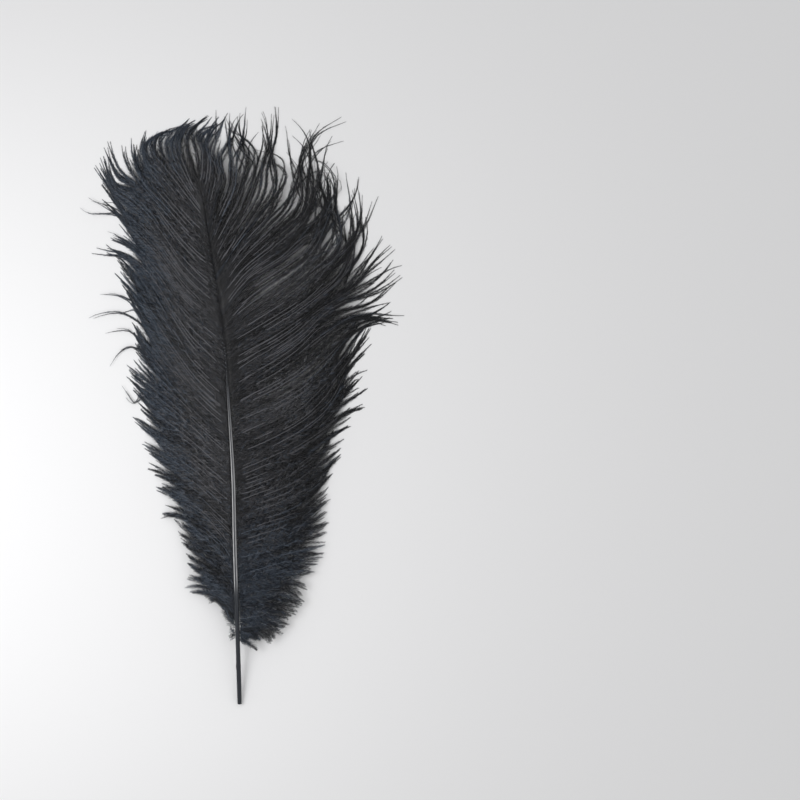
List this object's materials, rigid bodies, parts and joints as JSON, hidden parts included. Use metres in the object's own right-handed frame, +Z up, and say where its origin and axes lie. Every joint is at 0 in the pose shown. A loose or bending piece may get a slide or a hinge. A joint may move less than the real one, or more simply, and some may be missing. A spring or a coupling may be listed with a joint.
{
  "type": "ostrich feather",
  "caption": "Black-dyed ostrich wing plume lying on a table: bare cut quill, arched grooved shaft and loose curled barbs hanging in locks.",
  "frame": {"origin": "on the table under the middle of the plume, the middle of the bottom of its box", "axes": "+Z up from the table, +Y along the plume from the cut end of the quill to the tip, +X to the right seen from above"},
  "size_m": [0.2029, 0.3798, 0.0198],
  "materials": {
    "barbs": "black-dyed feather barbs, soft and hairy, with a faint cool sheen",
    "quill": "dyed horn of the quill and shaft, half gloss, worn pale along the ribs beside the groove"
  },
  "bodies": {
    "root": {"feather": "barbs"}
  },
  "joints": []
}
